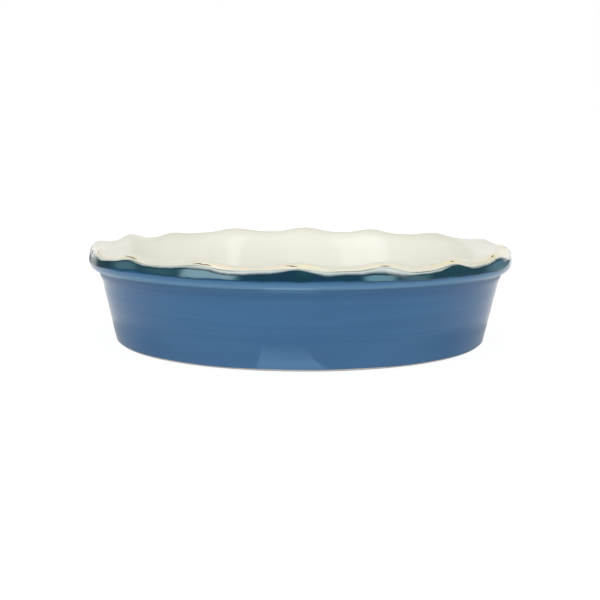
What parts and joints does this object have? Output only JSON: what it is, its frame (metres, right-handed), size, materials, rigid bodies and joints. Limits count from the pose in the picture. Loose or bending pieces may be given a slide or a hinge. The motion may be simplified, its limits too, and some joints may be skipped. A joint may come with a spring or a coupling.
{
  "type": "pie dish",
  "caption": "Round deep pie dish with a leaning wall, a rolled lip pressed into even ruffles, a flat floor and a low foot ring; brushed coloured glaze outside.",
  "frame": {"origin": "centre of the foot ring, on the surface that the dish stands on", "axes": "+Z is the dish's axis, up out of its mouth; a ruffle points along -Y, which is the front in the picture"},
  "size_m": [0.285, 0.285, 0.065],
  "materials": {
    "cream_glazed_body": "glossy cream glaze over fired stoneware, bare on the foot ring",
    "blue_glaze": "glossy blue glaze with faint level brush marks",
    "teal_glaze": "dark teal glaze, very glossy, thin and greenish along its upper border"
  },
  "bodies": {
    "root": {"dish_body": "cream_glazed_body", "blue_outside_glaze": "blue_glaze", "teal_rim_glaze": "teal_glaze"}
  },
  "joints": []
}
